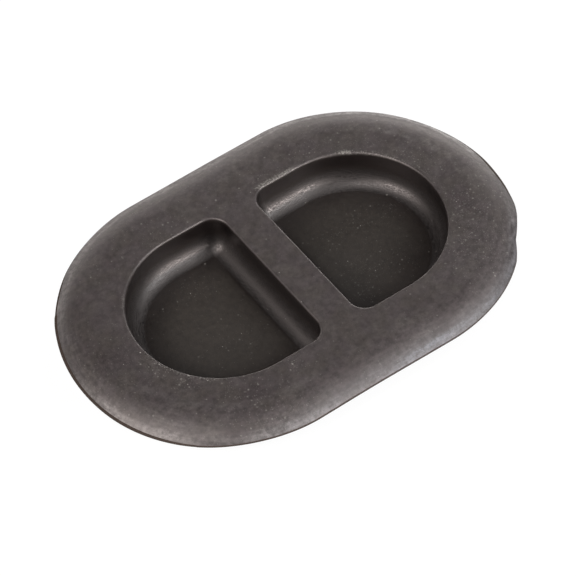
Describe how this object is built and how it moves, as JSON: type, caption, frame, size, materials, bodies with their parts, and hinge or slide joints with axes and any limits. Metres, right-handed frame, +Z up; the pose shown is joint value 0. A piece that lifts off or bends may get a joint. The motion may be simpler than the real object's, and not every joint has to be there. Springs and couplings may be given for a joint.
{
  "type": "floor pan plug",
  "caption": "Oval rubber plug that closes an obround hole in a sheet-metal floor, with a sealing flange, a retaining bead and recesses either side of a grip bridge.",
  "frame": {"origin": "centre of the plug in plan, on its flat bottom", "axes": "+X along the plug's length, +Y across it, +Z up, from the flat bottom to the flange's flat top"},
  "size_m": [0.0892, 0.0604, 0.0095],
  "materials": {
    "rubber": "matt black rubber with a faint grey bloom and dust"
  },
  "bodies": {
    "root": {"plug": "rubber"}
  },
  "joints": []
}
